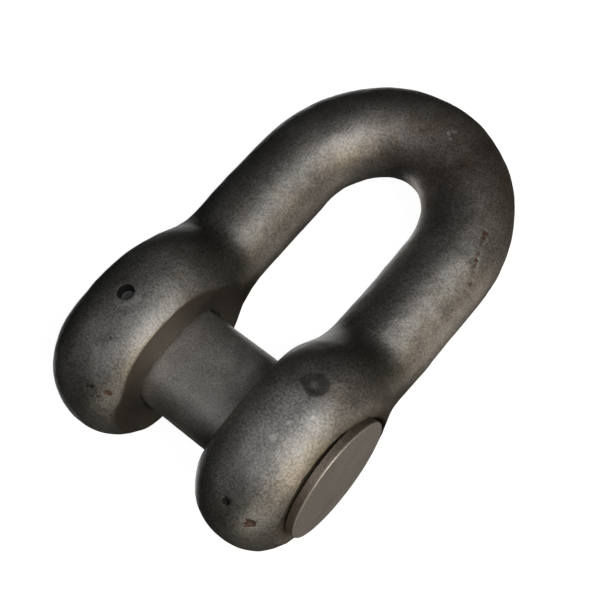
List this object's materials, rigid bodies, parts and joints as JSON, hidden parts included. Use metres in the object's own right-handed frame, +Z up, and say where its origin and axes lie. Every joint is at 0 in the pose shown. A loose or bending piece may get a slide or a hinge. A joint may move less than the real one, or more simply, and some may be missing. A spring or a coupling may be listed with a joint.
{
  "type": "dee shackle",
  "caption": "Forged dee shackle that joins anchor chain, with round eyes, an oval bolt with a round head, a taper locking pin and a lead seal",
  "frame": {"origin": "on the ground under the middle of the shackle's box, as it lies on both eyes and the crown of its bow", "axes": "+X along the bolt towards its head, +Y from the bolt towards the crown of the bow, +Z up"},
  "size_m": [0.1988, 0.336, 0.127],
  "materials": {
    "forged_body": "dark forged and shot-blasted steel, satin, with brown and tan oxide",
    "bolt_steel": "machined and lightly oxidised steel, dull satin",
    "pin_steel": "satin ground steel",
    "lead": "matte hammered lead"
  },
  "bodies": {
    "shackle_body": {"shackle_body": "forged_body"},
    "bolt": {"bolt": "bolt_steel"},
    "locking_pin": {"locking_pin": "pin_steel", "lead_pellet": "lead"}
  },
  "joints": [
    {"name": "bolt_end_float", "type": "slide", "parent": "shackle_body", "child": "bolt", "axis": [1, 0, 0], "range_m": [0, 0.0007]},
    {"name": "locking_pin_drive_out", "type": "slide", "parent": "shackle_body", "child": "locking_pin", "axis": [0, 0.1349, 0.9909], "range_m": [0, 0.128]}
  ]
}
